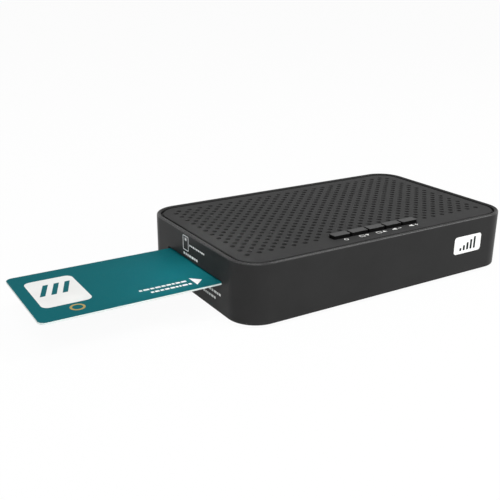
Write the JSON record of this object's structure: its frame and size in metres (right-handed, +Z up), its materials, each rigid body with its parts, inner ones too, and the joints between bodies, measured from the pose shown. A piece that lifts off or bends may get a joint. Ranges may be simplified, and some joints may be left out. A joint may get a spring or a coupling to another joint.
{
  "type": "satellite tv receiver",
  "caption": "Flat box-shaped satellite receiver with a perforated top cover, a row of push keys and a smart card that slides into a side slot.",
  "frame": {"origin": "middle of the case, on the plane the rubber feet stand on", "axes": "+X to the right seen from the front, +Y towards the rear sockets, +Z up; the card slot faces -X"},
  "size_m": [0.2472, 0.1095, 0.032],
  "materials": {
    "case_black": "fine matt texture",
    "key_black": "satin",
    "rubber_black": "matt",
    "steel": "zinc plated",
    "tinned_steel": "tinned",
    "board_green": "solder mask",
    "moulded_black": "satin",
    "panel_black": "fine matt texture",
    "plunger_black": "satin",
    "switch_grey": "satin",
    "gold": "gold flash",
    "nickel": "nickel plated",
    "insulator_white": "matt",
    "audio_orange": "matt",
    "card_teal": "semi-gloss laminate",
    "package_black": "moulded epoxy",
    "heatsink_aluminium": "anodised",
    "capacitor_sleeve": "shrink sleeve",
    "ferrite_grey": "sintered",
    "lamp_red": "clear tinted"
  },
  "bodies": {
    "receiver": {"lower_case": "case_black", "top_cover": "case_black", "rubber_feet": "rubber_black", "housing_screws": "steel", "board_screws": "steel", "main_board": "board_green", "card_reader_base": "moulded_black", "card_reader_cover": "steel", "card_reader_contacts": "gold", "card_detect_switch": "moulded_black", "tact_switch_bodies": "switch_grey", "rear_panel": "panel_black", "tuner_can": "tinned_steel", "tuner_lid": "tinned_steel", "lnb_connector": "nickel", "lnb_insulator": "insulator_white", "lnb_connector_nut": "nickel", "digital_audio_body": "moulded_black", "digital_audio_shell": "nickel", "digital_audio_insulator": "audio_orange", "av_jack": "moulded_black", "hdmi_shell": "tinned_steel", "hdmi_tongue": "moulded_black", "usb_shell": "tinned_steel", "usb_tongue": "insulator_white", "ethernet_jack": "moulded_black", "ethernet_contacts": "gold", "power_socket": "moulded_black", "power_socket_pin": "nickel", "processor": "package_black", "heatsink": "heatsink_aluminium", "memory_chips": "package_black", "capacitors": "capacitor_sleeve", "inductors": "ferrite_grey", "crystal": "tinned_steel", "infrared_receiver": "package_black", "status_lamp": "lamp_red"},
    "card": {"smart_card": "card_teal", "smart_card_chip": "gold"},
    "standby_button": {"standby_key": "key_black", "standby_plunger": "plunger_black"},
    "channel_down_button": {"channel_down_key": "key_black", "channel_down_plunger": "plunger_black"},
    "channel_up_button": {"channel_up_key": "key_black", "channel_up_plunger": "plunger_black"},
    "volume_down_button": {"volume_down_key": "key_black", "volume_down_plunger": "plunger_black"},
    "volume_up_button": {"volume_up_key": "key_black", "volume_up_plunger": "plunger_black"}
  },
  "joints": [
    {"name": "card_slide", "type": "slide", "parent": "receiver", "child": "card", "axis": [1, 0, 0], "range_m": [-0.006, 0.0605]},
    {"name": "standby_press", "type": "slide", "parent": "receiver", "child": "standby_button", "axis": [0, 0, -1], "range_m": [0, 0.0005], "stiffness_N_per_m": 1500, "springref_m": -0.0004},
    {"name": "channel_down_press", "type": "slide", "parent": "receiver", "child": "channel_down_button", "axis": [0, 0, -1], "range_m": [0, 0.0005], "stiffness_N_per_m": 1500, "springref_m": -0.0004},
    {"name": "channel_up_press", "type": "slide", "parent": "receiver", "child": "channel_up_button", "axis": [0, 0, -1], "range_m": [0, 0.0005], "stiffness_N_per_m": 1500, "springref_m": -0.0004},
    {"name": "volume_down_press", "type": "slide", "parent": "receiver", "child": "volume_down_button", "axis": [0, 0, -1], "range_m": [0, 0.0005], "stiffness_N_per_m": 1500, "springref_m": -0.0004},
    {"name": "volume_up_press", "type": "slide", "parent": "receiver", "child": "volume_up_button", "axis": [0, 0, -1], "range_m": [0, 0.0005], "stiffness_N_per_m": 1500, "springref_m": -0.0004}
  ]
}
